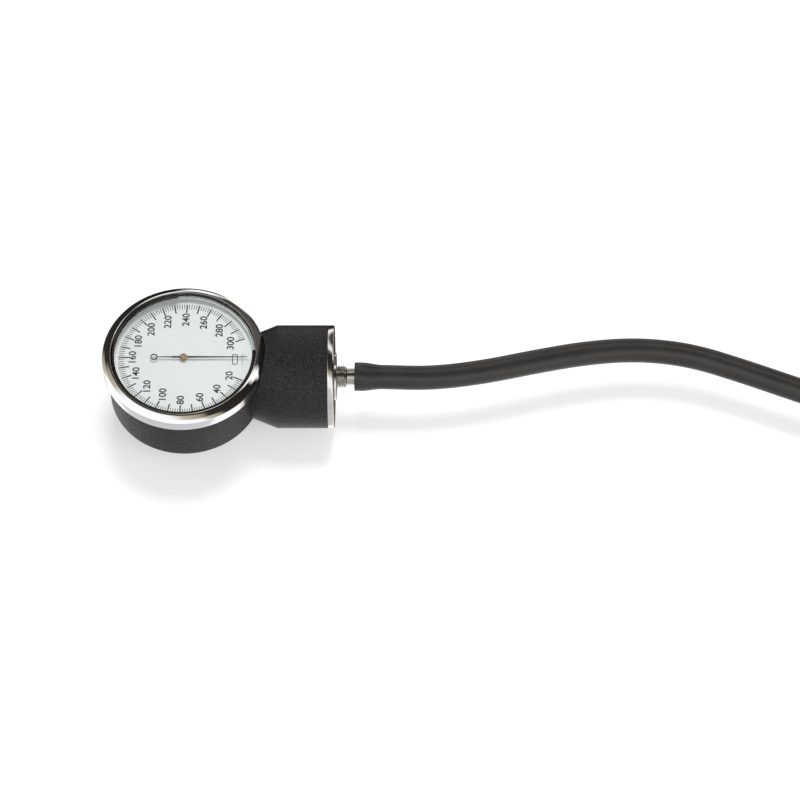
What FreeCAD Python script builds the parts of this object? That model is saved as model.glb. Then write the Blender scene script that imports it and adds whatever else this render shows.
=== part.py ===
"""Hand aneroid gauge of a blood pressure monitor, with its rubber hose, as a parametric document.

Frame: millimetres, +Z up.  The dial's axis is the Z axis and the back of the case rests on z = 0.
The neck and the hose leave along +X.
"""
import FreeCAD, Part
import math
import os
import re

import Sketcher

Vector = FreeCAD.Vector
Placement = FreeCAD.Placement
UP = Vector(0, 0, 1)
ALONG_X = FreeCAD.Rotation(Vector(0, 1, 0), 90)

DIMENSIONS = {
    # case casting
    "case_radius": 23.75, "back_radius": 16.4, "shoulder_top": 8.7, "bezel_seat": 24.7,
    "rim_radius": 23.0, "rim_top": 27.4, "rim_bore": 22.4, "dial_ledge": 25.9,
    "cavity_radius": 21.2, "cavity_floor": 2.0, "cavity_back": 14.4,
    "boss_radius": 2.4, "boss_circle": 15.0, "screw_radius": 0.8,
    # neck
    "neck_height": 16.0, "neck_radius": 16.0, "neck_end": 44.4, "cone_end": 28.6,
    "cone_root": 18.0, "cone_root_radius": 11.8, "neck_bore": 14.2, "neck_floor": 29.3,
    "seal_bore": 15.2, "seal_start": 43.4, "guide_bore": 2.5, "guide_start": 20.2,
    # bezel and window
    "bezel_radius": 25.05, "bezel_shoulder": 28.0, "bezel_top": 29.7, "lip_radius": 21.95,
    "bezel_gap": 0.15, "groove_radius": 22.25, "groove_top": 29.45, "window_radius": 21.9,
    "window_top": 28.55, "window_under": 27.85, "wire_radius": 0.44, "wire_circle": 21.75,
    "wire_gap": 93.0, "wire_gap_start": 3.0,
    # dial and pointer
    "dial_radius": 22.35, "dial_top": 26.3, "dial_hole": 0.9, "spacer_bore": 21.6,
    "pointer_under": 27.15, "pointer_top": 27.35, "tip_reach": 19.7, "tail_reach": 9.1,
    "tail_radius": 1.1, "hub_radius": 1.15, "hub_top": 27.6, "hub_under": 26.75,
    "hub_neck": 0.75,
    # movement
    "plate_thickness": 1.2, "lower_plate": 8.5, "upper_plate": 20.8, "plate_radius": 18.6,
    "bridge_radius": 17.4, "pillar_circle": 14.2, "pillar_radius": 1.6,
    "sector_x": 12.75, "sector_y": -3.4, "sector_root": 11.8, "sector_tip": 12.14,
    "pinion_root": 0.93, "pinion_tip": 1.3, "sector_under": 12.0, "sector_top": 12.8,
    "arbor_radius": 0.75, "pivot_radius": 0.4, "bush_radius": 1.3, "pivot_gap": 0.03,
    "lever_under": 15.2, "lever_top": 16.8, "lever_reach": 4.7, "lever_width": 1.3,
    "lever_hub": 1.7, "sector_hub": 2.2, "top_arbor": 0.45,
    "spring_under": 23.1, "spring_top": 23.6, "collet_radius": 1.05,
    # pressure side
    "rod_radius": 1.0, "rod_tip": 14.43, "rod_end": 32.0, "rod_bore": 1.04,
    "head_start": 32.0, "head_end": 32.8, "bellows_outer": 13.0, "bellows_inner": 8.6,
    "bellows_wall": 0.25, "bellows_end": 42.0, "base_end": 43.2, "base_radius": 13.4,
    "cap_end": 46.4, "cap_boss": 47.0, "cap_boss_radius": 7.4, "cap_spigot": 14.15,
    "thread_radius": 3.5, "thread_root": 3.05, "thread_pitch": 0.75, "thread_end": 49.9,
    "stem_radius": 2.53, "barb_radius": 2.85, "nipple_start": 38.4, "nipple_end": 60.2,
    "nipple_bore": 1.25, "lock_nut_flats": 10.0, "lock_nut_start": 39.3, "washer_start": 41.3,
    # hose
    "hose_radius": 3.8, "hose_start": 52.55, "flare_radius": 4.47, "flare_end": 61.0,
    "hank_left": 224.6, "hank_right": 322.6, "hank_y": 3.2, "hank_radius": 23.4,
    "hank_start": 236.0, "layer_gap": 0.1,
    "tie_thickness": 0.8, "tie_width": 8.0, "tie_x": 272.0,
    "collar_radius": 4.6, "spigot_radius": 2.5, "spigot_length": 12.0,
}

SCREW_ANGLES = (20.0, 140.0, 260.0)
PILLAR_ANGLES = (75.0, 180.0, 285.0)
SECTOR_TEETH = 14
PINION_TEETH = 12
TOOTH_STEP = 3.0          # degrees of sector turn per tooth
MESH_ANGLE = 165.07       # direction from the sector arbor to the pinion arbor, degrees
LEVER_ANGLE = 73.125      # direction of the lever's pushed face at rest, degrees
EXPRESSION_WORDS = {"cos", "sin", "deg"}

# The hose's route from the nipple to the start of its hank, millimetres.
HOSE_ROUTE = [
    (52.55, 0.0, 16.0), (62.0, -0.1, 15.98), (76.0, -0.5, 15.75), (92.0, 1.9, 15.4),
    (110.0, 6.5, 14.9), (126.0, 10.0, 14.45), (142.0, 11.4, 14.1), (158.0, 9.4, 13.8),
    (174.0, 3.5, 13.6), (190.0, -3.1, 13.5), (206.0, -9.4, 13.2), (221.0, -15.1, 12.4),
    (236.0, -19.2, 11.7),
]
# The hose's route from its hank to the connector.
HOSE_END_ROUTE = [(300.0, -20.2, 3.8), (317.0, -21.5, 3.8), (334.0, -24.4, 3.8)]

doc = FreeCAD.newDocument("AneroidGauge")
sheet = doc.addObject("Spreadsheet::Sheet", "Sizes")
nodes = []


def fill_sheet():
    """Write every driving dimension into the sheet, under its own alias."""
    for row, (alias, value) in enumerate(DIMENSIONS.items(), start=1):
        sheet.set("A%d" % row, alias)
        sheet.set("B%d" % row, str(value))
        sheet.setAlias("B%d" % row, alias)
    doc.recompute()


def bound(text):
    """Turn an expression in plain aliases into one that names the sheet."""
    def qualified(word):
        name = word.group()
        return name if name in EXPRESSION_WORDS else "Sizes." + name
    return re.sub(r"[a-z_]+", qualified, str(text))


def size(text):
    """The present value of an expression in aliases."""
    return float(sheet.evalExpression(bound(text)))


def bind(thing, field, text):
    thing.setExpression(field, bound(text))


# ---------------------------------------------------------------- sketches and bodies

def new_body(label):
    body = doc.addObject("PartDesign::Body", label)
    body.Label = label
    nodes.append(body)
    return body


def new_sketch(body, plane, suffix, lift=None):
    """A sketch on one of the body's own origin planes, lifted off it by an expression."""
    planes = {feature.Role: feature for feature in body.Origin.OriginFeatures}
    sketch = body.newObject("Sketcher::SketchObject", body.Label + suffix)
    sketch.AttachmentSupport = (planes[plane], [""])
    sketch.MapMode = "FlatFace"
    if lift:
        bind(sketch, "AttachmentOffset.Base.z", lift)
    return sketch


def pin_point(sketch, edge, end, spot):
    """Fix one end of an edge at a pair of expressions."""
    for kind, text in zip(("DistanceX", "DistanceY"), spot):
        index = sketch.addConstraint(Sketcher.Constraint(kind, edge, end, size(text)))
        bind(sketch, "Constraints[%d]" % index, text)


def draw(sketch, outline):
    """A closed outline of straight edges through points given as pairs of expressions."""
    corners = [Vector(size(across), size(up), 0) for across, up in outline]
    edges = []
    for start, end in zip(corners, corners[1:] + corners[:1]):
        edges.append(sketch.addGeometry(Part.LineSegment(start, end)))
    for edge, following in zip(edges, edges[1:] + edges[:1]):
        sketch.addConstraint(Sketcher.Constraint("Coincident", edge, 2, following, 1))
    for edge, spot in zip(edges, outline):
        pin_point(sketch, edge, 1, spot)


def draw_circle(sketch, spot, radius):
    centre = Vector(size(spot[0]), size(spot[1]), 0)
    edge = sketch.addGeometry(Part.Circle(centre, UP, size(radius)))
    index = sketch.addConstraint(Sketcher.Constraint("Radius", edge, size(radius)))
    bind(sketch, "Constraints[%d]" % index, radius)
    pin_point(sketch, edge, 3, spot)


def add_turn(body, outline, axis="V_Axis", cut=False, lift=None, suffix="_turn"):
    """Turn an outline of (across, up) points about an axis of its sketch on the XZ plane."""
    sketch = new_sketch(body, "XZ_Plane", suffix + "_outline")
    if lift:
        bind(sketch, "AttachmentOffset.Base.y", lift)
    draw(sketch, outline)
    kind = "PartDesign::Groove" if cut else "PartDesign::Revolution"
    turn = body.newObject(kind, body.Label + suffix)
    turn.Profile = sketch
    turn.ReferenceAxis = (sketch, [axis])
    turn.Angle = 360
    return turn


def add_pad(body, sketch, height, suffix="_pad"):
    pad = body.newObject("PartDesign::Pad", body.Label + suffix)
    pad.Profile = sketch
    bind(pad, "Length", height)
    return pad


def add_pocket(body, sketch, depth, suffix="_pocket"):
    """Cut a sketch downwards from its own level."""
    pocket = body.newObject("PartDesign::Pocket", body.Label + suffix)
    pocket.Profile = sketch
    bind(pocket, "Length", depth)
    return pocket


def place(thing, x="0", y="0", z="0", rotation=None):
    thing.Placement = Placement(Vector(size(x), size(y), size(z)), rotation or FreeCAD.Rotation())
    for field, text in (("x", x), ("y", y), ("z", z)):
        bind(thing, "Placement.Base." + field, text)


def turned(label, outline, x="0", y="0", z="0"):
    """A piece turned about a vertical axis, from (radius, height) points."""
    body = new_body(label)
    add_turn(body, outline)
    place(body, x, y, z)
    return body


def turned_along_x(label, outline):
    """A piece turned about the neck's axis, from (radius, distance along X) points."""
    body = new_body(label)
    add_turn(body, outline)
    place(body, z="neck_height", rotation=ALONG_X)
    return body


def tube(inner, outer, start, end):
    """The outline of a plain ring."""
    return [(inner, start), (outer, start), (outer, end), (inner, end)]


def around(circle, angle):
    """A point on a circle, as a pair of expressions."""
    return ("%s * cos(%s deg)" % (circle, angle), "%s * sin(%s deg)" % (circle, angle))


# ---------------------------------------------------------------- case and window

def make_case_body():
    body = new_body("case_body")
    add_turn(body, [("0", "0"), ("back_radius", "0"), ("case_radius", "shoulder_top"),
                    ("case_radius", "bezel_seat"), ("rim_radius", "bezel_seat"),
                    ("rim_radius", "rim_top"), ("0", "rim_top")], suffix="_shell")
    add_turn(body, [("cone_root", "0"), ("neck_end", "0"), ("neck_end", "neck_radius"),
                    ("cone_end", "neck_radius"), ("cone_root", "cone_root_radius")],
             axis="H_Axis", lift="neck_height", suffix="_neck")
    add_turn(body, [("0", "rim_top"), ("rim_radius", "rim_top"), ("rim_radius", "bezel_seat"),
                    ("bezel_radius + bezel_gap", "bezel_seat"),
                    ("bezel_radius + bezel_gap", "neck_height + neck_radius"),
                    ("0", "neck_height + neck_radius")],
             cut=True, suffix="_bezel_room")
    add_turn(body, [("0", "cavity_floor"), ("cavity_back", "cavity_floor"),
                    ("cavity_radius", "shoulder_top + 0.6"), ("cavity_radius", "dial_ledge"),
                    ("rim_bore", "dial_ledge"), ("rim_bore", "rim_top + 1"), ("0", "rim_top + 1")],
             cut=True, suffix="_cavity")
    add_turn(body, [("guide_start", "0"), ("neck_end + 1", "0"), ("neck_end + 1", "seal_bore"),
                    ("seal_start", "seal_bore"), ("seal_start", "neck_bore"),
                    ("neck_floor", "neck_bore"), ("neck_floor", "guide_bore"),
                    ("guide_start", "guide_bore")],
             axis="H_Axis", cut=True, lift="neck_height", suffix="_neck_bore")
    bosses = new_sketch(body, "XY_Plane", "_bosses", lift="cavity_floor - 1")
    holes = new_sketch(body, "XY_Plane", "_boss_holes", lift="lower_plate")
    for angle in SCREW_ANGLES:
        draw_circle(bosses, around("boss_circle", angle), "boss_radius")
        draw_circle(holes, around("boss_circle", angle), "screw_radius")
    add_pad(body, bosses, "lower_plate - cavity_floor + 1", "_boss_pad")
    add_pocket(body, holes, "4", "_boss_taps")


def make_bezel():
    """The screwed ring round the window: a domed top, a thin lip and a groove for the snap ring."""
    turned("bezel", [
        ("rim_radius", "bezel_seat"), ("bezel_radius - 0.3", "bezel_seat"),
        ("bezel_radius", "bezel_seat + 0.3"), ("bezel_radius", "bezel_shoulder"),
        ("bezel_radius - 0.3", "bezel_shoulder + 0.65"),
        ("bezel_radius - 1.05", "bezel_shoulder + 1.2"), ("lip_radius + 0.9", "bezel_top"),
        ("lip_radius + 0.35", "bezel_top"), ("lip_radius", "groove_top"),
        ("groove_radius", "groove_top"), ("groove_radius", "window_top"),
        ("lip_radius", "window_top"), ("lip_radius", "rim_top"), ("rim_radius", "rim_top")])


def make_window():
    """The window, the split wire ring that holds it down, and the two rings that it stands on."""
    glass = doc.addObject("Part::Cylinder", "crystal")
    bind(glass, "Radius", "window_radius")
    bind(glass, "Height", "window_top - window_under")
    place(glass, z="window_under")
    nodes.append(glass)

    wire = new_body("crystal_snap_ring")
    section = new_sketch(wire, "XZ_Plane", "_section")
    draw_circle(section, ("wire_circle", "(window_top + groove_top) / 2"), "wire_radius")
    turn = wire.newObject("PartDesign::Revolution", "crystal_snap_ring_turn")
    turn.Profile = section
    turn.ReferenceAxis = (section, ["V_Axis"])
    bind(turn, "Angle", "360 - wire_gap")
    place(wire, rotation=FreeCAD.Rotation(UP, size("wire_gap_start + wire_gap")))

    turned("crystal_gasket", tube("spacer_bore - 0.2", "window_radius", "rim_top", "window_under"))
    turned("dial_spacer", tube("spacer_bore", "rim_bore", "dial_top", "rim_top"))


def make_dial():
    turned("dial_plate", tube("dial_hole", "dial_radius", "dial_ledge", "dial_top"))


def make_pointer():
    """A flat blade with an eye on the hub, a long tapered tip and a ring for a tail."""
    body = new_body("pointer")
    blade = new_sketch(body, "XY_Plane", "_blade", lift="pointer_under")
    draw(blade, [("tip_reach", "-0.09"), ("tip_reach", "0.09"), ("4", "0.24"), ("1", "0.3"),
                 ("-3.4", "0.26"), ("-3.8", "0.15"), ("tail_radius - tail_reach - 0.2", "0.12"),
                 ("tail_radius - tail_reach - 0.2", "-0.12"), ("-3.8", "-0.15"), ("-3.4", "-0.26"),
                 ("1", "-0.3"), ("4", "-0.24")])
    add_pad(body, blade, "pointer_top - pointer_under", "_blade_pad")
    rings = new_sketch(body, "XY_Plane", "_rings", lift="pointer_under")
    draw_circle(rings, ("-tail_reach", "0"), "tail_radius")
    draw_circle(rings, ("0", "0"), "hub_radius - 0.05")
    add_pad(body, rings, "pointer_top - pointer_under", "_ring_pad")
    eyes = new_sketch(body, "XY_Plane", "_eyes", lift="pointer_top")
    draw_circle(eyes, ("-tail_reach", "0"), "tail_radius - 0.32")
    draw_circle(eyes, ("0", "0"), "hub_neck")
    add_pocket(body, eyes, "pointer_top - pointer_under", "_eye_holes")

    turned("pointer_hub", [
        ("pivot_radius", "hub_under"), ("hub_radius - 0.1", "hub_under"),
        ("hub_radius", "hub_under + 0.1"), ("hub_radius", "pointer_under"),
        ("hub_neck", "pointer_under"), ("hub_neck", "pointer_top"), ("hub_radius", "pointer_top"),
        ("hub_radius", "hub_top - 0.12"), ("hub_radius - 0.15", "hub_top"),
        ("pivot_radius + 0.2", "hub_top"), ("pivot_radius", "hub_top - 0.15")])


# ---------------------------------------------------------------- movement

def add_teeth(body, count, root, tip, under, top, first_angle, step, half_root, half_tip):
    """Straight-sided gear teeth in a polar row about the body's own axis."""
    tooth = new_sketch(body, "XY_Plane", "_tooth", lift=under)
    draw(tooth, [(root + " - 0.1", "-%s" % half_root), (tip, "-%s" % half_tip), (tip, half_tip),
                 (root + " - 0.1", half_root)])
    tooth.AttachmentOffset = Placement(tooth.AttachmentOffset.Base,
                                       FreeCAD.Rotation(UP, first_angle))
    pad = add_pad(body, tooth, "%s - %s" % (top, under), "_tooth_pad")
    row = body.newObject("PartDesign::PolarPattern", body.Label + "_teeth")
    row.Originals = [pad]
    row.Axis = ({feature.Role: feature for feature in body.Origin.OriginFeatures}["Z_Axis"], [""])
    row.Angle = step * (count - 1)
    row.Occurrences = count
    body.Tip = row


def make_arbors():
    """The pointer's arbor with its pinion, and the sector's arbor with its shoulders."""
    body = new_body("pinion_arbor")
    add_turn(body, [("0", "lower_plate"), ("pivot_radius", "lower_plate"),
                    ("pivot_radius", "lower_plate + plate_thickness + 0.05"),
                    ("arbor_radius", "lower_plate + plate_thickness + 0.05"),
                    ("arbor_radius", "sector_under - 0.6"), ("pinion_root", "sector_under - 0.6"),
                    ("pinion_root", "sector_top + 0.6"), ("arbor_radius", "sector_top + 0.6"),
                    ("arbor_radius", "upper_plate - 0.05"), ("top_arbor", "upper_plate - 0.05"),
                    ("top_arbor", "hub_under - 0.1"), ("pivot_radius", "hub_under - 0.1"),
                    ("pivot_radius", "hub_top - 0.2"), ("0", "hub_top - 0.2")])
    add_teeth(body, PINION_TEETH, "pinion_root", "pinion_tip", "sector_under - 0.6",
              "sector_top + 0.6", 15.0, 360.0 / PINION_TEETH, "0.15", "0.07")

    turned("sector_arbor", [
        ("0", "lower_plate"), ("pivot_radius", "lower_plate"),
        ("pivot_radius", "lower_plate + plate_thickness + 0.05"),
        ("arbor_radius", "lower_plate + plate_thickness + 0.05"),
        ("arbor_radius", "upper_plate - 0.05"), ("pivot_radius", "upper_plate - 0.05"),
        ("pivot_radius", "upper_plate + plate_thickness"), ("0", "upper_plate + plate_thickness")],
        x="sector_x", y="sector_y")


def make_sector():
    """A toothed sector on a round hub, with a window in its web."""
    body = new_body("sector_gear")
    half_span = TOOTH_STEP * SECTOR_TEETH / 2
    middle = MESH_ANGLE - 16.875
    web = new_sketch(body, "XY_Plane", "_web", lift="sector_under")
    steps = 6
    rim = []
    for index in range(steps + 1):
        angle = middle - half_span + 2 * half_span * index / steps
        rim.append(around("(sector_root + 0.06)", "%.4f" % angle))
    draw(web, [("0", "0")] + rim)
    add_pad(body, web, "sector_top - sector_under", "_web_pad")
    hub = new_sketch(body, "XY_Plane", "_hub", lift="sector_under - 0.5")
    draw_circle(hub, ("0", "0"), "sector_hub")
    add_pad(body, hub, "sector_top - sector_under + 1", "_hub_pad")
    add_teeth(body, SECTOR_TEETH, "sector_root", "sector_tip", "sector_under", "sector_top",
              middle - half_span + TOOTH_STEP / 2, TOOTH_STEP, "0.16", "0.08")
    window = new_sketch(body, "XY_Plane", "_window", lift="sector_top")
    draw(window, [around("4.2", "%.4f" % middle), around("9.6", "%.4f" % (middle - 13)),
                  around("9.9", "%.4f" % middle), around("9.6", "%.4f" % (middle + 13))])
    add_pocket(body, window, "sector_top - sector_under", "_web_window")
    bore = new_sketch(body, "XY_Plane", "_bore", lift="sector_top + 1")
    draw_circle(bore, ("0", "0"), "arbor_radius")
    add_pocket(body, bore, "4", "_arbor_hole")
    place(body, "sector_x", "sector_y")


def make_lever():
    """The arm on the sector's arbor that the push rod bears on."""
    body = new_body("sector_lever")
    arm = new_sketch(body, "XY_Plane", "_arm", lift="lever_under")
    draw(arm, [("0", "0"), ("lever_reach", "0"), ("lever_reach", "lever_width * 0.8"),
               ("0", "lever_width")])
    add_pad(body, arm, "lever_top - lever_under", "_arm_pad")
    hub = new_sketch(body, "XY_Plane", "_hub", lift="lever_under")
    draw_circle(hub, ("0", "0"), "lever_hub")
    add_pad(body, hub, "lever_top - lever_under", "_hub_pad")
    bore = new_sketch(body, "XY_Plane", "_bore", lift="lever_top")
    draw_circle(bore, ("0", "0"), "arbor_radius")
    add_pocket(body, bore, "lever_top - lever_under", "_arbor_hole")
    place(body, "sector_x", "sector_y", rotation=FreeCAD.Rotation(UP, LEVER_ANGLE))


def make_plate(label, level, radius, screw_circle, screw_angles, window_circle):
    """One of the movement's two round plates, with bush, screw and lightening holes."""
    body = new_body(label)
    disc = new_sketch(body, "XY_Plane", "_disc", lift=level)
    draw_circle(disc, ("0", "0"), radius)
    add_pad(body, disc, "plate_thickness", "_disc_pad")
    holes = new_sketch(body, "XY_Plane", "_holes", lift=level + " + plate_thickness")
    draw_circle(holes, ("0", "0"), "bush_radius")
    draw_circle(holes, ("sector_x", "sector_y"), "bush_radius")
    for angle in screw_angles:
        draw_circle(holes, around(screw_circle, angle), "screw_radius")
    for angle in window_circle:
        draw_circle(holes, around("8.5", angle), "3.2")
    add_pocket(body, holes, "plate_thickness", "_hole_pocket")


def make_plates():
    make_plate("lower_plate", "lower_plate", "plate_radius", "boss_circle", SCREW_ANGLES,
               (55, 125, 235))
    make_plate("upper_plate", "upper_plate", "bridge_radius", "pillar_circle", PILLAR_ANGLES,
               (45, 125, 215))
    for name, level in (("lower", "lower_plate"), ("upper", "upper_plate")):
        outline = tube("pivot_radius + pivot_gap", "bush_radius", level, level + " + plate_thickness")
        turned("sector_bush_" + name, outline, x="sector_x", y="sector_y")
        if name == "upper":
            outline = tube("top_arbor + pivot_gap", "bush_radius", level, level + " + plate_thickness")
        turned("pinion_bush_" + name, outline)


def cylinder(radius, height, x, y, z):
    solid = doc.addObject("Part::Cylinder", "cylinder")
    bind(solid, "Radius", radius)
    bind(solid, "Height", height)
    place(solid, x, y, z)
    return solid


def group(label, members):
    """Several separate solids of one kind, kept together as one node."""
    together = doc.addObject("Part::Compound", label)
    together.Label = label
    together.Links = members
    nodes.append(together)


def slotted_screws(label, circle, angles, seat, shank):
    """Cheese-head screws standing on a plate, each with a driver slot."""
    screws = []
    for angle in angles:
        x, y = around(circle, angle)
        head = cylinder("screw_radius * 1.9", "0.9", x, y, seat)
        stem = cylinder("screw_radius", shank, x, y, "%s - %s" % (seat, shank))
        both = doc.addObject("Part::Fuse", "screw_blank")
        both.Base = head
        both.Tool = stem
        slot = doc.addObject("Part::Box", "slot")
        slot.Length = 4
        slot.Width = 0.4
        slot.Height = 1
        place(slot, x + " - 2", y + " - 0.2", seat + " + 0.45")
        cut = doc.addObject("Part::Cut", "screw")
        cut.Base = both
        cut.Tool = slot
        screws.append(cut)
    group(label, screws)


def make_fasteners():
    pillars = []
    for angle in PILLAR_ANGLES:
        x, y = around("pillar_circle", angle)
        post = cylinder("pillar_radius", "upper_plate - lower_plate - plate_thickness", x, y,
                        "lower_plate + plate_thickness")
        tap = cylinder("screw_radius", "4", x, y, "upper_plate - 3")
        drilled = doc.addObject("Part::Cut", "pillar")
        drilled.Base = post
        drilled.Tool = tap
        pillars.append(drilled)
    group("movement_pillars", pillars)
    slotted_screws("pillar_screws", "pillar_circle", PILLAR_ANGLES,
                   "(upper_plate + plate_thickness)", "3.4")
    slotted_screws("base_screws", "boss_circle", SCREW_ANGLES,
                   "(lower_plate + plate_thickness)", "4.4")


def make_hairspring():
    """A flat spiral of half circles about two centres, its collet, and its stud."""
    half_turns = 10
    first = size("collet_radius") + 0.12
    growth = 0.5
    half_wall = 0.06
    outer_edges = []
    inner_edges = []
    radius = first
    shift = 0.0
    for index in range(half_turns):
        side = 1 if index % 2 == 0 else -1
        for edges, offset in ((outer_edges, half_wall), (inner_edges, -half_wall)):
            reach = radius + offset
            edges.append(Part.Arc(Vector(shift + side * reach, 0, 0), Vector(shift, side * reach, 0),
                                  Vector(shift - side * reach, 0, 0)).toShape())
        radius += growth
        shift += side * growth
    start = Part.makeLine(outer_edges[0].Vertexes[0].Point, inner_edges[0].Vertexes[0].Point)
    finish = Part.makeLine(outer_edges[-1].Vertexes[-1].Point, inner_edges[-1].Vertexes[-1].Point)
    outline = Part.Wire(Part.__sortEdges__(outer_edges + [finish] + inner_edges + [start]))
    ribbon = Part.Face(outline).extrude(Vector(0, 0, size("spring_top - spring_under")))
    spring = doc.addObject("Part::Feature", "hairspring")
    spring.Shape = ribbon
    spring.Placement = Placement(Vector(0, 0, size("spring_under")), FreeCAD.Rotation())
    nodes.append(spring)

    last = outer_edges[-1].Vertexes[-1].Point
    reach = max(abs(last.x), abs(inner_edges[-1].Vertexes[-1].Point.x))
    turned("hairspring_stud", [("0", "upper_plate + plate_thickness"),
                               ("0.6", "upper_plate + plate_thickness"),
                               ("0.6", "spring_top + 0.4"), ("0", "spring_top + 0.4")],
           x=str(round(math.copysign(reach + 0.61, last.x), 3)))
    turned("hairspring_collet", tube("top_arbor", "collet_radius", "spring_under - 0.3",
                                     "spring_top + 0.3"))


# ---------------------------------------------------------------- pressure side

def make_push_rod():
    """The rod with a ball tip towards the lever, and the bush that guides it."""
    turned_along_x("push_rod", [
        ("0", "rod_tip"), ("0.35", "rod_tip + 0.12"), ("0.6", "rod_tip + 0.6"),
        ("rod_radius", "rod_tip + 1.4"), ("rod_radius", "rod_end"), ("0", "rod_end")])
    turned_along_x("rod_guide", [
        ("rod_bore", "guide_start"), ("guide_bore", "guide_start"), ("guide_bore", "neck_floor"),
        ("rod_bore", "neck_floor")])


def make_bellows():
    """A thin corrugated capsule between its moving head and its fixed base."""
    folds = 5
    start = size("head_end")
    pitch = (size("bellows_end") - start) / folds
    outer = []
    inner = []
    for fold in range(folds):
        near = start + fold * pitch
        wall = size("bellows_wall")
        crest = near + pitch / 2
        outer += [("bellows_inner", "%.4f" % near), ("bellows_outer", "%.4f" % (crest - wall)),
                  ("bellows_outer", "%.4f" % (crest + wall))]
        inner += [("bellows_inner - bellows_wall * 2", "%.4f" % near),
                  ("bellows_outer - bellows_wall * 2", "%.4f" % crest)]
    outer.append(("bellows_inner", "bellows_end"))
    inner.append(("bellows_inner - bellows_wall * 2", "bellows_end"))
    turned_along_x("bellows", outer + inner[::-1])
    turned_along_x("bellows_head", [("0", "head_start"), ("bellows_inner", "head_start"),
                                    ("bellows_inner", "head_end"), ("0", "head_end")])
    turned_along_x("bellows_base", tube("thread_radius", "base_radius", "bellows_end", "base_end"))


def make_end_cap():
    turned_along_x("end_cap", [
        ("thread_radius", "base_end"), ("cap_spigot", "base_end"), ("cap_spigot", "neck_end"),
        ("neck_radius - 0.1", "neck_end"), ("neck_radius", "neck_end + 0.1"),
        ("neck_radius", "cap_end - 0.4"), ("neck_radius - 0.4", "cap_end"),
        ("cap_boss_radius", "cap_end"), ("cap_boss_radius - 0.2", "cap_boss"),
        ("thread_radius", "cap_boss")])
    turned_along_x("end_cap_seal", tube("cap_spigot", "seal_bore", "seal_start", "neck_end"))


def stem_outline():
    """The nipple's smooth stem with two barbs, from the thread to its end."""
    return [("stem_radius", "thread_end"), ("stem_radius", "hose_start + 1.2"),
            ("barb_radius", "hose_start + 1.2"), ("stem_radius", "hose_start + 3.6"),
            ("barb_radius", "hose_start + 3.6"), ("stem_radius - 0.3", "nipple_end")]


def make_nipple():
    """The threaded nipple, its lock nut and washer inside the capsule, and a flow restrictor."""
    turns = 4
    thread = []
    for turn in range(turns):
        base = "cap_boss - 0.1 + %s * thread_pitch" % turn
        thread += [("thread_root", base), ("thread_radius", base + " + thread_pitch * 0.4"),
                   ("thread_radius", base + " + thread_pitch * 0.6")]
    turned_along_x("hose_nipple", [
        ("nipple_bore", "nipple_start"), ("thread_radius - 0.3", "nipple_start"),
        ("thread_radius", "nipple_start + 0.3"), ("thread_radius", "cap_boss - 0.1")]
        + thread + [("thread_root", "thread_end - 0.02")] + stem_outline()
        + [("nipple_bore", "nipple_end")])
    turned_along_x("flow_restrictor", tube("0.3", "nipple_bore", "nipple_start + 0.5",
                                           "nipple_start + 3"))
    turned_along_x("nipple_washer", tube("thread_radius", "5.4", "washer_start", "bellows_end"))

    blank = doc.addObject("Part::Prism", "lock_nut_blank")
    blank.Polygon = 6
    bind(blank, "Circumradius", "lock_nut_flats / 2 / cos(30 deg)")
    bind(blank, "Height", "washer_start - lock_nut_start")
    place(blank, "lock_nut_start", "0", "neck_height", ALONG_X)
    hole = doc.addObject("Part::Cylinder", "lock_nut_hole")
    bind(hole, "Radius", "thread_radius")
    hole.Height = 10
    place(hole, "lock_nut_start - 2", "0", "neck_height", ALONG_X)
    nut = doc.addObject("Part::Cut", "nipple_lock_nut")
    nut.Base = blank
    nut.Tool = hole
    nodes.append(nut)


# ---------------------------------------------------------------- hose

def rounded_path(points, name):
    """Straight runs joined by tangent arcs as large as the two runs beside each allow."""
    points = [Vector(*point) for point in points]
    edges = []
    here = points[0]
    radii = []
    for before, corner, after in zip(points, points[1:], points[2:]):
        incoming = (corner - before).normalize()
        outgoing = (after - corner).normalize()
        half_turn = incoming.getAngle(outgoing) / 2
        shorter = min((corner - before).Length, (after - corner).Length)
        reach = 0.45 * shorter
        radius = reach / math.tan(half_turn)
        radii.append(radius)
        arc_start = corner - incoming * reach
        arc_end = corner + outgoing * reach
        inward = (outgoing - incoming).normalize()
        middle = corner + inward * (radius / math.cos(half_turn) - radius)
        edges.append(Part.LineSegment(here, arc_start).toShape())
        edges.append(Part.Arc(arc_start, middle, arc_end).toShape())
        here = arc_end
    edges.append(Part.LineSegment(here, points[-1]).toShape())
    if radii:
        print(name, "radii:", ", ".join("%.0f" % radius for radius in radii))
    return Part.Wire(edges)


def swept_hose(points, name):
    """A round rod along a rounded path, its volume compared with section times length."""
    path = rounded_path(points, name)
    direction = Vector(*points[1]) - Vector(*points[0])
    circle = Part.Circle(Vector(*points[0]), direction, size("hose_radius"))
    rod = path.makePipeShell([Part.Wire([circle.toShape()])], True, False)
    expected = math.pi * size("hose_radius") ** 2 * path.Length
    print(name, "length %.1f, volume ratio %.4f" % (path.Length, rod.Volume / expected))
    assert abs(rod.Volume / expected - 1) < 0.01
    return rod


def turned_shape(outline, centre, direction):
    """A plain solid of revolution about a line, from (radius, distance) pairs."""
    corners = [Vector(radius, 0, distance) for radius, distance in outline]
    solid = Part.Face(Part.makePolygon(corners + corners[:1])).revolve(Vector(), UP, 360)
    solid.Placement = Placement(centre, FreeCAD.Rotation(UP, direction))
    return solid


def plain(label, shape):
    feature = doc.addObject("Part::Feature", label)
    feature.Shape = shape
    nodes.append(feature)


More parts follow.
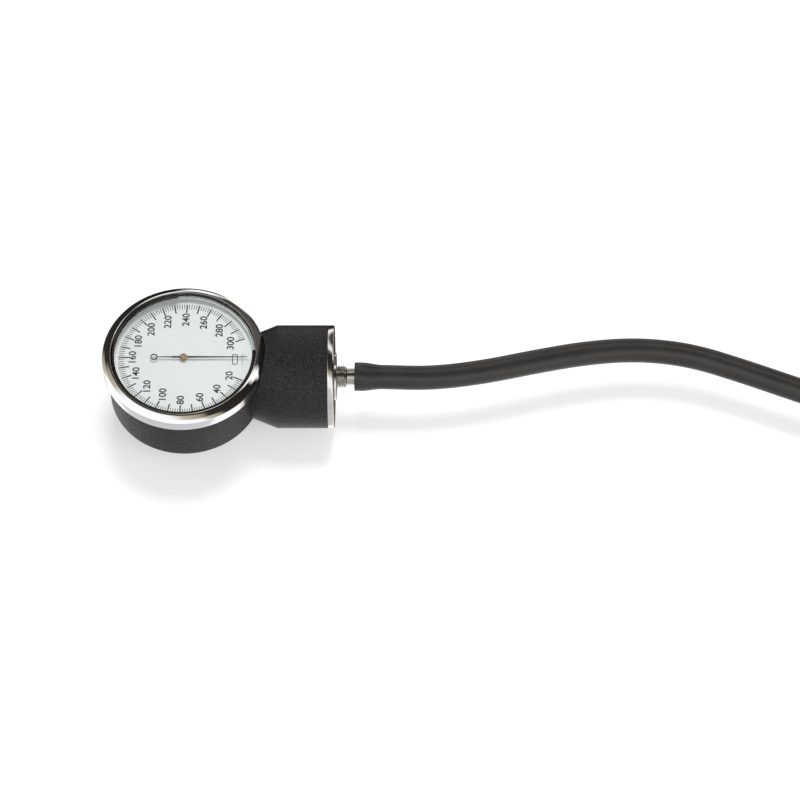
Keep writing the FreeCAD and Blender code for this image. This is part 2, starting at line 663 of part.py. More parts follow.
def racetrack(radius, height):
    """A slab with two straight sides and two round ends, about the hank's two end centres."""
    centre_y = size("hank_y")
    left = size("hank_left")
    right = size("hank_right")
    ends = [Part.makeCylinder(radius, height, Vector(x, centre_y, 0)) for x in (left, right)]
    middle = Part.makeBox(right - left, 2 * radius, height, Vector(left, centre_y - radius, 0))
    return middle.fuse(ends).removeSplitter()


def hank_outline():
    """The hank's outer shape: one layer, and two along the near side, where the hose comes in."""
    hose = size("hose_radius")
    radius = size("hank_radius")
    height = 4 * hose + size("layer_gap")
    ring = racetrack(radius + hose, height).cut(racetrack(radius - hose, height))
    span = size("hank_right - hank_left") + 4 * radius
    far_top = Part.makeBox(span, 2 * radius, height,
                           Vector(size("hank_left") - 2 * radius, size("hank_y"), 2 * hose))
    left_top = Part.makeBox(3 * radius, 2 * radius, height,
                            Vector(size("hank_start") - 3 * radius, size("hank_y") - 2 * radius,
                                   2 * hose))
    return ring.cut([far_top, left_top])


def make_hose():
    """The loose stretch, flared over the nipple; the stored hank; its tie; and its short end."""
    neck_centre = Vector(0, 0, size("neck_height"))
    along = Vector(1, 0, 0)
    rod = swept_hose(HOSE_ROUTE, "hose")
    start = size("hose_start")
    flare = turned_shape([(0, start), (size("flare_radius") - 0.3, start),
                          (size("flare_radius"), start + 0.4), (size("flare_radius"), start + 2.6),
                          (size("hose_radius") + 0.15, size("nipple_end") - 1.5),
                          (size("hose_radius") - 0.3, size("flare_end")), (0, size("flare_end"))],
                         neck_centre, along)
    stem = [(0, start - 1)] + [(size(radius), size(distance)) for radius, distance in stem_outline()]
    stem += [(0, size("nipple_end"))]
    socket = turned_shape(stem, neck_centre, along)
    loose = rod.fuse(flare).cut(socket).removeSplitter()

    band = make_tie()
    short_end = swept_hose(HOSE_END_ROUTE, "hose_end")
    tip = Vector(*HOSE_END_ROUTE[-1])
    collar = turned_shape([(0, 0), (size("collar_radius"), 0), (size("collar_radius"), 5), (0, 5)],
                          tip, tip - Vector(*HOSE_END_ROUTE[-2]))
    hank = hank_outline().cut([rod, short_end, band, collar])
    plain("hose", loose.Solids[0])
    plain("hose_hank", max(hank.Solids, key=lambda solid: solid.Volume))
    plain("hose_tie", band)
    plain("hose_end", short_end)


def rounded_slot(low, high, radius, breadth):
    """A flat-sided bar round two parallel axes that run along Y."""
    along_y = Vector(0, 1, 0)
    across = (high - low).normalize().cross(along_y) * radius
    start = Vector(0, -breadth / 2, 0)
    corners = [low + across, high + across, high - across, low - across, low + across]
    bar = Part.Face(Part.makePolygon([corner + start for corner in corners]))
    bar = bar.extrude(along_y * breadth)
    ends = [Part.makeCylinder(radius, breadth, spot + start, along_y) for spot in (low, high)]
    return bar.fuse(ends).removeSplitter()


def make_tie():
    """A strap drawn round the two layers of the hank's near side, with a clasp on its outside."""
    thickness = size("tie_thickness")
    breadth = size("tie_width")
    hose = size("hose_radius")
    low = Vector(0, 0, hose + thickness)
    high = low + Vector(0, 0, 2 * hose + size("layer_gap"))
    outside = rounded_slot(low, high, hose + thickness, breadth)
    inside = rounded_slot(low, high, hose, breadth + 2)
    clasp = Part.makeBox(2.2, breadth - 1, 4.4,
                         Vector(hose + thickness / 2, (1 - breadth) / 2, (low.z + high.z) / 2 - 2.2))
    band = outside.fuse(clasp).cut(inside).removeSplitter()
    band.rotate(Vector(), UP, -90)
    band.translate(Vector(size("tie_x"), size("hank_y - hank_radius"), 0))
    return band


def make_connector():
    """The plated end fitting: a collar against the hose and a plain round spigot."""
    tip = Vector(*HOSE_END_ROUTE[-1])
    direction = (tip - Vector(*HOSE_END_ROUTE[-2])).normalize()
    body = new_body("hose_connector")
    add_turn(body, [
        ("1.3", "0"), ("collar_radius - 1", "0"),
        ("collar_radius - 1", "2.2"), ("3.4", "2.6"), ("3.4", "4.4"), ("spigot_radius", "4.8"),
        ("spigot_radius", "4.8 + spigot_length - 0.4"),
        ("spigot_radius - 0.4", "4.8 + spigot_length"), ("1.3", "4.8 + spigot_length")])
    body.Placement = Placement(tip, FreeCAD.Rotation(UP, direction))


def check_and_export():
    doc.recompute()
    for thing in doc.Objects:
        for word in ("Invalid", "Error"):
            assert word not in thing.State, "%s is %s" % (thing.Name, thing.State)
    os.makedirs("parts", exist_ok=True)
    for node in nodes:
        shape = node.Shape
        assert not shape.isNull(), node.Label + " is empty"
        assert shape.isValid(), node.Label + " is not valid"
        assert shape.Solids, node.Label + " holds no solid"
    for node in nodes:
        shape = node.Shape
        shape.exportStep("parts/%s.step" % node.Label)
        print("%-20s %d solid(s) %9.1f mm3" % (node.Label, len(shape.Solids), shape.Volume))


fill_sheet()
make_case_body()
make_bezel()
make_window()
make_dial()
make_pointer()
make_arbors()
make_sector()
make_lever()
make_plates()
make_fasteners()
make_hairspring()
make_push_rod()
make_bellows()
make_end_cap()
make_nipple()
make_hose()
make_connector()
check_and_export()
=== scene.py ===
import functools
import math

import bmesh
import bpy
from mathutils import Matrix, Vector


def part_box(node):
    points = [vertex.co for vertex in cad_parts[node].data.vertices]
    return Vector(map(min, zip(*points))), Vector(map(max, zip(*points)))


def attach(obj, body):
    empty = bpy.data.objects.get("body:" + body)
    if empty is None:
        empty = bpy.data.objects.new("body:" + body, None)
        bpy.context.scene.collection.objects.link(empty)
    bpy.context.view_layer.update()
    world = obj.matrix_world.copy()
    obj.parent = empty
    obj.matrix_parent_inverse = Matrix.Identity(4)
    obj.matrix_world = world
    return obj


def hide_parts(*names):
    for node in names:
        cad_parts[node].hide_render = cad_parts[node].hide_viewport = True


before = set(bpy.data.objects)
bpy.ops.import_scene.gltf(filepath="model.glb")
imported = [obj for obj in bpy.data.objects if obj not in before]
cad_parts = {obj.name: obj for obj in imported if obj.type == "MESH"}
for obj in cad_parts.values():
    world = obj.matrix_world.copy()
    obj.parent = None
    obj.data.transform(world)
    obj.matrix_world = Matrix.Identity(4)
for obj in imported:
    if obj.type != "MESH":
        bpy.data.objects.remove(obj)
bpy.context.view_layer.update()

# Lengths below are millimetres; every mesh is scaled to metres when it is made.
MM = 0.001
ROUND_STEPS = 192          # faces round a large turned piece
AXIS = 0.01                # the radius where a turned outline meets its axis
OVERCUT = 1.0              # how far a cut runs past the face that it opens

# The hose's route from the nipple to the start of its hank, and from its hank to the connector.
HOSE_ROUTE = [
    (52.55, 0.0, 16.0), (62.0, -0.1, 15.98), (76.0, -0.5, 15.75), (92.0, 1.9, 15.4),
    (110.0, 6.5, 14.9), (126.0, 10.0, 14.45), (142.0, 11.4, 14.1), (158.0, 9.4, 13.8),
    (174.0, 3.5, 13.6), (190.0, -3.1, 13.5), (206.0, -9.4, 13.2), (221.0, -15.1, 12.4),
    (236.0, -19.2, 11.7),
]
HOSE_END_ROUTE = [(300.0, -20.2, 3.8), (317.0, -21.5, 3.8), (334.0, -24.4, 3.8)]
HOSE_RADIUS = 3.8
FLARE_RADIUS = 4.47
FLARE_LENGTH = 8.4         # how far the hose is stretched over the nipple
FLARE_FLAT = 2.4           # the part of that where it is stretched most
CUT_ROUND = 0.35           # rounding of the hose's cut ends
CUT_STATIONS = (0.03, 0.1, 0.2, CUT_ROUND)   # where that rounding has its rings
ARC_STEPS = 8              # route steps in each end of the hank
LOWER_LAYER = 3.8          # heights of the hank's two layers
UPPER_LAYER = 11.5
TIE_THICKNESS = 0.8
TIE_SPREAD = 18.0          # how far to each side of its tie the hose is lifted off the floor

# The scale: 0 to 300 in a clockwise sweep that starts at +X.
DEGREES_PER_UNIT = 1.125
PRINT_TURN = -1.2          # the dial is printed slightly turned on its spacer
SCALE_FIRST = 20
SCALE_LAST = 300
TICK_OUTER = 20.12
LONG_TICK = 16.95
SHORT_TICK = 18.35
HEAVY_TICK_WIDTH = 0.42
LIGHT_TICK_WIDTH = 0.2
FIGURE_HEIGHT = 2.15
FIGURE_STEP = 0.75         # room for one figure, as a share of its height
FIGURE_WEIGHT = 0.06
FIGURE_WIDENING = 1.04
FONT_SHARE = 0.7           # a figure's height as a share of its font's size
FIGURE_OUTER = 16.8        # the circle that the figures' outer edges lie on
ZERO_BOX_CIRCLE = 15.85
UNIT_CIRCLE = 18.1
INK_LIFT = 0.02            # how far the print lies above the dial

# Sizes of the painted case that no single node's box gives.
RIM_RADIUS = 23.0
BEZEL_GAP = 0.15
BACK_RADIUS = 16.4
SHOULDER_TOP = 8.7

# The split ring over the window.
WIRE_RADIUS = 0.5
WIRE_CIRCLE = 21.72
WIRE_START = 96.0          # degrees from +X; the gap is between its end and its start
WIRE_END = 363.0

# The nipple, from its thread to its barbs, as places along the neck and radii.
THREAD_START = 39.0
THREAD_END = 49.9
THREAD_PITCH = 0.75
THREAD_CREST = 3.5
THREAD_ROOT = 3.0
THREAD_FADE = 0.3          # length over which the thread runs out
STEM_RADIUS = 2.53
STEM_FILLET = 0.35
BARB_RADIUS = 2.85
BARB_LENGTH = 2.4
FIRST_BARB = 1.2           # how far inside the hose the first barb starts
NIPPLE_BORE = 1.25

# The studio, in metres.
CAMERA_PLACE = (0.06670, -0.52373, 0.82553)
CAMERA_TILT = 32.47        # degrees from straight down
CAMERA_LENS = 139.5
OBJECT_MIDDLE = (0.06, 0.0, 0.0)
FLOOR_HALF = 6.0
DARK_SIDE = (0.45, 0.8, 0.4)
# What gloss sees, from opposite the dark side (0) to the dark side itself (1); the ends come first.
GLOSS_STOPS = [
    (0.0, (0.65, 0.65, 0.66)), (1.0, (0.12, 0.11, 0.1)), (0.22, (0.8, 0.8, 0.8)),
    (0.28, (1.35, 1.35, 1.35)), (0.43, (1.2, 1.2, 1.2)), (0.47, (0.62, 0.57, 0.44)),
    (0.53, (0.42, 0.37, 0.27)), (0.57, (0.035, 0.03, 0.026)), (0.84, (0.016, 0.014, 0.013)),
    (0.87, (1.3, 1.27, 1.22)), (0.905, (1.3, 1.27, 1.22)), (0.935, (0.04, 0.036, 0.032)),
]


# ---------------------------------------------------------------- sizes read from the frame

@functools.cache
def low(node):
    """The lowest corner of a CAD node, in millimetres."""
    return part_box(node)[0] / MM


@functools.cache
def high(node):
    """The highest corner of a CAD node, in millimetres."""
    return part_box(node)[1] / MM


NECK_HEIGHT = (low("end_cap").z + high("end_cap").z) / 2
PRINT_HEIGHT = high("dial_plate").z + INK_LIFT


# ---------------------------------------------------------------- mesh making

def add_object(name, data, body="gauge"):
    piece = bpy.data.objects.new(name, data)
    bpy.context.scene.collection.objects.link(piece)
    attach(piece, body)
    return piece


def smooth(mesh, sharp_angle=35.0):
    mesh.polygons.foreach_set("use_smooth", [True] * len(mesh.polygons))
    mesh.set_sharp_from_angle(angle=math.radians(sharp_angle))


def grid_mesh(name, rows, closed=True):
    """A mesh through rows of points, each row closed on itself, and the rows too if closed."""
    width = len(rows[0])
    points = [Vector(point) * MM for row in rows for point in row]
    last = len(rows) if closed else len(rows) - 1
    faces = []
    for row in range(last):
        after = (row + 1) % len(rows)
        for column in range(width):
            beside = (column + 1) % width
            faces.append((row * width + column, row * width + beside,
                          after * width + beside, after * width + column))
    mesh = bpy.data.meshes.new(name)
    mesh.from_pydata(points, [], faces)
    shape = bmesh.new()
    shape.from_mesh(mesh)
    bmesh.ops.remove_doubles(shape, verts=shape.verts, dist=1e-7)
    if not closed:
        bmesh.ops.holes_fill(shape, edges=shape.edges)
    bmesh.ops.recalc_face_normals(shape, faces=shape.faces)
    shape.to_mesh(mesh)
    shape.free()
    smooth(mesh)
    return mesh


def rounded(outline, steps=5):
    """A closed outline of (radius, height, fillet) corners, with each fillet as an arc."""
    points = []
    for index, (radius, height, fillet) in enumerate(outline):
        corner = Vector((radius, height))
        before = Vector(outline[index - 1][:2]) - corner
        after = Vector(outline[(index + 1) % len(outline)][:2]) - corner
        half = before.angle(after) / 2
        reach = min(fillet / math.tan(half), 0.49 * before.length, 0.49 * after.length)
        if reach < 1e-4 or half > math.radians(89):
            points.append(corner)
            continue
        first = corner + before.normalized() * reach
        last = corner + after.normalized() * reach
        centre = corner + (before.normalized() + after.normalized()).normalized() * (
            reach / math.cos(half))
        for step in range(steps + 1):
            blend = first.lerp(last, step / steps) - centre
            points.append(centre + blend.normalized() * reach * math.tan(half))
    return points


def turned_rows(outline, along_x=False, steps=ROUND_STEPS):
    """Rows of points for an outline turned about Z, or about the neck's axis."""
    rows = []
    for radius, height in outline:
        row = []
        for step in range(steps):
            angle = 2 * math.pi * step / steps
            across, up = radius * math.cos(angle), radius * math.sin(angle)
            row.append((height, across, NECK_HEIGHT + up) if along_x else (across, up, height))
        rows.append(row)
    return rows


def turned(name, outline, along_x=False, steps=ROUND_STEPS, body="gauge"):
    """A smooth turned piece from a closed outline of (radius, height, fillet) corners."""
    mesh = grid_mesh(name, turned_rows(rounded(outline), along_x, steps))
    return add_object(name, mesh, body)


def combine(piece, tool, operation):
    """Join a closed mesh to a piece, or cut it away, and drop the tool."""
    modifier = piece.modifiers.new(operation, "BOOLEAN")
    modifier.operation = operation
    modifier.solver = "EXACT"
    modifier.object = tool
    bpy.context.view_layer.update()
    ready = piece.evaluated_get(bpy.context.evaluated_depsgraph_get())
    mesh = bpy.data.meshes.new_from_object(ready)
    piece.modifiers.clear()
    piece.data = mesh
    bpy.data.objects.remove(tool)


def stand_for(piece, slot, material, *nodes):
    """The piece is shown in place of CAD nodes."""
    piece.data.materials.clear()
    piece.data.materials.append(material)
    if nodes:
        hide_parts(*nodes)


# ---------------------------------------------------------------- materials

def set_stops(ramp, stops):
    """Give a colour ramp its (position, colour) stops."""
    marks = ramp.color_ramp.elements
    for index, (position, colour) in enumerate(stops):
        mark = marks[index] if index < 2 else marks.new(position)
        mark.position = position
        mark.color = (*colour, 1.0)


class Shader:
    """A node material that is built up step by step; textures are in metres on the object."""

    def __init__(self, name, colour, roughness, metallic=0.0, **inputs):
        self.material = bpy.data.materials.new(name)
        self.material.use_nodes = True
        self.tree = self.material.node_tree
        self.surface = self.tree.nodes["Principled BSDF"]
        self.surface.inputs["Base Color"].default_value = (*colour, 1.0)
        self.surface.inputs["Roughness"].default_value = roughness
        self.surface.inputs["Metallic"].default_value = metallic
        for label, value in inputs.items():
            self.surface.inputs[label.replace("_", " ")].default_value = value
        self.place = self.add("ShaderNodeTexCoord").outputs["Object"]

    def add(self, kind, **settings):
        node = self.tree.nodes.new(kind)
        for label, value in settings.items():
            setattr(node, label, value)
        return node

    def link(self, source, target):
        self.tree.links.new(source, target)

    def noise(self, size, detail=3.0):
        """Noise whose features are about size millimetres across."""
        texture = self.add("ShaderNodeTexNoise")
        texture.inputs["Scale"].default_value = 1 / (size * MM)
        texture.inputs["Detail"].default_value = detail
        texture.inputs["Roughness"].default_value = 0.55
        self.link(self.place, texture.inputs["Vector"])
        return texture.outputs["Fac"]

    def grains(self, size):
        """Cells about size millimetres across."""
        texture = self.add("ShaderNodeTexVoronoi", feature="SMOOTH_F1")
        texture.inputs["Scale"].default_value = 1 / (size * MM)
        self.link(self.place, texture.inputs["Vector"])
        return texture.outputs["Distance"]

    def ramp(self, value, *stops):
        """A value turned into colours: each stop is (position, colour)."""
        ramp = self.add("ShaderNodeValToRGB")
        set_stops(ramp, stops)
        self.link(value, ramp.inputs["Fac"])
        return ramp.outputs["Color"]

    def colour(self, value, *stops):
        """Base colour from a texture value."""
        self.link(self.ramp(value, *stops), self.surface.inputs["Base Color"])

    def spread(self, value, lowest, highest):
        """A texture value's middle part stretched to a range."""
        change = self.add("ShaderNodeMapRange")
        for label, setting in (("From Min", 0.3), ("From Max", 0.7),
                               ("To Min", lowest), ("To Max", highest)):
            change.inputs[label].default_value = setting
        self.link(value, change.inputs["Value"])
        return change.outputs["Result"]

    def vary(self, label, value, lowest, highest):
        """One input of the surface follows a texture value between two limits."""
        self.link(self.spread(value, lowest, highest), self.surface.inputs[label])

    def bump(self, value, height, strength=1.0):
        """Relief about height millimetres deep; further calls add to it."""
        relief = self.add("ShaderNodeBump")
        relief.inputs["Distance"].default_value = height * MM
        relief.inputs["Strength"].default_value = strength
        self.link(value, relief.inputs["Height"])
        before = self.surface.inputs["Normal"].links
        if before:
            self.link(before[0].from_socket, relief.inputs["Normal"])
        self.link(relief.outputs["Normal"], self.surface.inputs["Normal"])


def wrinkle_paint():
    """Black stoved paint with a fine, raised grain."""
    paint = Shader("wrinkle_paint", (0.012, 0.0115, 0.0125), 0.5, Specular_IOR_Level=0.36)
    grain = paint.grains(0.5)
    fine = paint.noise(0.3, detail=2.0)
    paint.colour(paint.noise(0.34, detail=3.0), (0.44, (0.002, 0.0019, 0.0022)),
                 (0.62, (0.034, 0.0325, 0.0345)))
    paint.vary("Roughness", fine, 0.36, 0.62)
    paint.bump(grain, 0.18, 0.8)
    paint.bump(fine, 0.13, 0.9)
    return paint.material


def chrome(name, colour=(0.79, 0.79, 0.8), roughness=0.05):
    """Bright plating with the faintest unevenness."""
    metal = Shader(name, colour, roughness, metallic=1.0)
    cloud = metal.noise(6.0, detail=4.0)
    metal.vary("Roughness", cloud, roughness * 0.7, roughness * 1.6)
    metal.bump(metal.noise(2.5), 0.004, 0.3)
    return metal.material


def machined(name, colour, roughness, size=0.4, relief=0.01):
    """Bare turned or stamped metal with fine marks and slight staining."""
    metal = Shader(name, colour, roughness, metallic=1.0)
    marks = metal.noise(size, detail=5.0)
    stain = metal.noise(4.0, detail=4.0)
    darker = tuple(channel * 0.78 for channel in colour)
    metal.colour(stain, (0.3, darker), (0.7, colour))
    metal.vary("Roughness", marks, roughness * 0.75, roughness * 1.35)
    metal.bump(marks, relief, 0.4)
    return metal.material


def hose_rubber():
    """Smooth black extruded rubber with fine pores and a soft sheen."""
    rubber = Shader("hose_rubber", (0.022, 0.0205, 0.0195), 0.36, Specular_IOR_Level=0.5)
    cloud = rubber.noise(9.0, detail=5.0)
    rubber.colour(cloud, (0.3, (0.019, 0.0175, 0.0165)), (0.7, (0.026, 0.0245, 0.0225)))
    rubber.vary("Roughness", rubber.noise(1.6, detail=5.0), 0.3, 0.4)
    rubber.bump(rubber.noise(0.35, detail=3.0), 0.012, 0.5)
    rubber.bump(cloud, 0.05, 0.4)
    return rubber.material


def seal_rubber():
    """Matt black rubber."""
    rubber = Shader("seal_rubber", (0.018, 0.018, 0.019), 0.6)
    rubber.vary("Roughness", rubber.noise(0.8), 0.5, 0.72)
    rubber.bump(rubber.noise(0.25), 0.01, 0.5)
    return rubber.material


def plastic(name, colour, roughness):
    """Moulded plastic or fibre with slight clouding."""
    moulded = Shader(name, colour, roughness)
    cloud = moulded.noise(3.0, detail=3.0)
    darker = tuple(channel * 0.92 for channel in colour)
    moulded.colour(cloud, (0.3, darker), (0.7, colour))
    moulded.vary("Roughness", moulded.noise(0.5), roughness * 0.85, roughness * 1.2)
    moulded.bump(moulded.noise(0.3), 0.006, 0.5)
    return moulded.material


def dial_enamel():
    """White enamel with a fine orange-peel surface and a faint painted glow that lifts the shade near its
    edges, so it looks even.
    """
    enamel = Shader("dial_enamel", (0.64, 0.65, 0.65), 0.38)
    enamel.colour(enamel.noise(7.0, detail=3.0), (0.3, (0.625, 0.64, 0.64)),
                  (0.7, (0.655, 0.66, 0.655)))
    # Painted light: the whole dial glows faintly, to even out the shade that falls near its edges.
    enamel.surface.inputs["Emission Color"].default_value = (0.95, 1.0, 1.0, 1)
    enamel.surface.inputs["Emission Strength"].default_value = 0.1
    enamel.vary("Roughness", enamel.noise(0.6), 0.32, 0.46)
    enamel.bump(enamel.noise(0.5), 0.004, 0.4)
    return enamel.material


def print_ink(name, colour):
    """Printed ink that covers a little unevenly."""
    ink = Shader(name, colour, 0.5)
    lighter = tuple(channel * 1.6 + 0.01 for channel in colour)
    ink.colour(ink.noise(0.25, detail=4.0), (0.35, colour), (0.75, lighter))
    ink.vary("Roughness", ink.noise(0.4), 0.42, 0.6)
    return ink.material


def window_glass():
    """Clear glass as a thin skin: light passes through, and only its gloss shows."""
    glass = Shader("window_glass", (1.0, 1.0, 1.0), 0.03)
    clear = glass.add("ShaderNodeBsdfTransparent")
    clear.inputs["Color"].default_value = (0.985, 0.995, 0.992, 1.0)
    gloss = glass.add("ShaderNodeBsdfGlossy")
    glass.link(glass.spread(glass.noise(5.0), 0.015, 0.03), gloss.inputs["Roughness"])
    fresnel = glass.add("ShaderNodeFresnel")
    fresnel.inputs["IOR"].default_value = 1.3
    mix = glass.add("ShaderNodeMixShader")
    glass.link(fresnel.outputs["Fac"], mix.inputs["Fac"])
    glass.link(clear.outputs["BSDF"], mix.inputs[1])
    glass.link(gloss.outputs["BSDF"], mix.inputs[2])
    output = glass.tree.nodes["Material Output"]
    glass.tree.nodes.remove(glass.surface)
    glass.link(mix.outputs["Shader"], output.inputs["Surface"])
    return glass.material


MATERIALS = {
    "case_paint": wrinkle_paint(),
    "bezel_chrome": chrome("bezel_chrome"),
    "window_glass": window_glass(),
    "ring_steel": chrome("ring_steel", (0.07, 0.065, 0.06), 0.25),
    "seal_rubber": seal_rubber(),
    "spacer_plastic": plastic("spacer_plastic", (0.88, 0.88, 0.86), 0.4),
    "dial_enamel": dial_enamel(),
    "pointer_blued": machined("pointer_blued", (0.05, 0.055, 0.07), 0.35, relief=0.002),
    "movement_brass": machined("movement_brass", (0.74, 0.45, 0.19), 0.24),
    "movement_steel": machined("movement_steel", (0.56, 0.56, 0.57), 0.3),
    "spring_bronze": machined("spring_bronze", (0.66, 0.4, 0.2), 0.3),
    "cap_chrome": machined("cap_chrome", (0.8, 0.79, 0.77), 0.14, size=0.5, relief=0.006),
    "nipple_nickel": machined("nipple_nickel", (0.58, 0.56, 0.52), 0.22, size=0.3),
    "washer_fibre": plastic("washer_fibre", (0.32, 0.12, 0.07), 0.7),
    "hose_rubber": hose_rubber(),
    "tie_plastic": plastic("tie_plastic", (0.025, 0.025, 0.027), 0.45),
}
INK = print_ink("scale_ink", (0.012, 0.012, 0.014))
GREY_INK = print_ink("unit_ink", (0.28, 0.29, 0.3))


def finish_nodes():
    """Every CAD node takes the material of its own slot in the record."""
    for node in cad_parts.values():
        for place in node.material_slots:
            name = place.material.name.split(".")[0] if place.material else ""
            if name in MATERIALS:
                place.material = MATERIALS[name]


# ---------------------------------------------------------------- hose

def ease(share):
    """A share from 0 to 1 with a gentle start and end."""
    share = min(max(share, 0), 1)
    return share * share * (3 - 2 * share)


def tied_run(near, height):
    """The hose lies on the tie's strap, so it rises a little there."""
    tie = (low("hose_tie").x + high("hose_tie").x) / 2
    return [(tie - TIE_SPREAD, near, height), (tie, near, height + TIE_THICKNESS),
            (tie + TIE_SPREAD, near, height)]


def hank_end(centre_x, middle, radius, first_turn, heights):
    """Half a turn about one end of the hank."""
    points = []
    for index, height in enumerate(heights):
        turn = first_turn + math.pi * index / ARC_STEPS
        points.append((centre_x + radius * math.cos(turn), middle + radius * math.sin(turn), height))
    return points


def hank_route():
    """The stored loop: on top along the near side, down round its right end, and back below."""
    lowest, highest = low("hose_hank"), high("hose_hank")
    radius = (highest.y - lowest.y) / 2 - HOSE_RADIUS
    middle = (highest.y + lowest.y) / 2
    left = lowest.x + HOSE_RADIUS + radius
    right = highest.x - HOSE_RADIUS - radius
    near, far = middle - radius, middle + radius
    beside = radius * math.pi / ARC_STEPS
    coming_down = [UPPER_LAYER + (LOWER_LAYER - UPPER_LAYER) * ease(1.2 * index / ARC_STEPS)
                   for index in range(ARC_STEPS + 1)]
    points = tied_run(near, UPPER_LAYER) + [(right - beside, near, UPPER_LAYER)]
    points += hank_end(right, middle, radius, -math.pi / 2, coming_down)
    points += [(right - beside, far, LOWER_LAYER), (left + beside, far, LOWER_LAYER)]
    points += hank_end(left, middle, radius, math.pi / 2, [LOWER_LAYER] * (ARC_STEPS + 1))
    return points + [(left + beside, near, LOWER_LAYER)] + tied_run(near, LOWER_LAYER)


def hose_line():
    """Points, in millimetres, along one smooth spline that has the route as its control points."""
    route = HOSE_ROUTE + hank_route() + HOSE_END_ROUTE
    curve = bpy.data.curves.new("hose_route", "CURVE")
    curve.dimensions = "3D"
    curve.resolution_u = 12
    spline = curve.splines.new("NURBS")
    spline.points.add(len(route) - 1)
    for point, spot in zip(spline.points, route):
        point.co = (*(Vector(spot) * MM), 1.0)
    spline.order_u = 3
    spline.use_endpoint_u = True
    holder = bpy.data.objects.new("hose_route", curve)
    bpy.context.scene.collection.objects.link(holder)
    bpy.context.view_layer.update()
    line = bpy.data.meshes.new_from_object(holder)
    points = [vertex.co / MM for vertex in line.vertices]
    bpy.data.objects.remove(holder)
    return points


def hose_profile(travelled, whole):
    """The hose's radius at a distance from its start: stretched over the nipple, ends rounded off."""
    share = (travelled - FLARE_FLAT) / (FLARE_LENGTH - FLARE_FLAT)
    radius = FLARE_RADIUS + (HOSE_RADIUS - FLARE_RADIUS) * ease(share)
    from_end = min(travelled, whole - travelled)
    if from_end < CUT_ROUND:
        radius -= CUT_ROUND - math.sqrt(CUT_ROUND ** 2 - (CUT_ROUND - from_end) ** 2)
    return radius


def stations_along(points):
    """(distance, point) pairs along the line, with more of them at both cut ends."""
    stations = []
    travelled = 0.0
    for before, point in zip([points[0]] + points, points):
        travelled += (point - before).length
        stations.append((travelled, point))
    onwards = (points[1] - points[0]).normalized()
    backwards = (points[-2] - points[-1]).normalized()
    for extra in CUT_STATIONS:
        stations.append((extra, points[0] + onwards * extra))
        stations.append((travelled - extra, points[-1] + backwards * extra))
    return sorted(stations, key=lambda station: station[0])


def hose_rows(points, steps=40):
    """Rings round the line that never twist."""
    stations = stations_along(points)
    whole = stations[-1][0]
    side = (points[1] - points[0]).normalized().cross(Vector((0, 0, 1))).normalized()
    rings = []
    for index, (distance, point) in enumerate(stations):
        after = stations[min(index + 1, len(stations) - 1)][1]
        before = stations[max(index - 1, 0)][1]
        ahead = (after - before).normalized()
        side = (side - ahead * side.dot(ahead)).normalized()
        up = side.cross(ahead)
        radius = hose_profile(distance, whole)
        rings.append([point + side * radius * math.cos(2 * math.pi * step / steps)
                      + up * radius * math.sin(2 * math.pi * step / steps)
                      for step in range(steps)])
    return rings


def make_hose():
    """The whole hose as one tube, from the nipple to the connector."""
    points = hose_line()
    hose = add_object("air_hose", grid_mesh("air_hose", hose_rows(points), closed=False))
    stand_for(hose, "hose_rubber", MATERIALS["hose_rubber"], "hose", "hose_hank", "hose_end")


# ---------------------------------------------------------------- fittings on the hose

def make_connector():
    """The plated end fitting, turned about the hose's last run."""
    tip, before = Vector(HOSE_END_ROUTE[-1]), Vector(HOSE_END_ROUTE[-2])
    outline = rounded([(1.3, 0.0, 0.1), (3.6, 0.0, 0.25), (3.6, 2.2, 0.15), (3.15, 2.5, 0.1),
                       (3.15, 2.9, 0.1), (3.4, 3.1, 0.15), (3.4, 4.5, 0.3), (2.5, 4.9, 0.2),
                       (2.5, 16.8, 0.5), (1.3, 16.8, 0.2)])
    mesh = grid_mesh("end_connector", turned_rows(outline, steps=96))
    aim = (tip - before).to_track_quat("Z", "Y").to_matrix().to_4x4()
    mesh.transform(Matrix.Translation(tip * MM) @ aim)
    stand_for(add_object("end_connector", mesh), "nipple_nickel", MATERIALS["nipple_nickel"],
              "hose_connector")


def tie_section(half_thickness, half_width):
    """The strap's rounded section as (outwards, along) pairs."""
    corners = [(half_thickness, half_width), (-half_thickness, half_width),
               (-half_thickness, -half_width), (half_thickness, -half_width)]
    return rounded([(x, y, 0.3) for x, y in corners], steps=4)


def make_tie():
    """A strap round both layers of the hank's near side."""
    lowest, highest = low("hose_tie"), high("hose_tie")
    centre_x = (lowest.x + highest.x) / 2
    centre_y = highest.y - HOSE_RADIUS - TIE_THICKNESS
    bottom = lowest.z + TIE_THICKNESS + HOSE_RADIUS
    top = highest.z - TIE_THICKNESS - HOSE_RADIUS
    section = tie_section(TIE_THICKNESS / 2 - 0.02, (highest.x - lowest.x) / 2)
    steps = 64
    rows = []
    for step in range(steps):
        angle = 2 * math.pi * step / steps + math.pi / steps
        outwards = Vector((0, math.cos(angle), math.sin(angle)))
        middle = Vector((centre_x, centre_y, top if outwards.z > 0 else bottom))
        middle += outwards * (HOSE_RADIUS + TIE_THICKNESS / 2)
        rows.append([middle + outwards * point.x + Vector((point.y, 0, 0)) for point in section])
    tie = add_object("hank_tie", grid_mesh("hank_tie", rows))
    stand_for(tie, "tie_plastic", MATERIALS["tie_plastic"], "hose_tie")
    make_clasp(tie, (bottom + top) / 2)


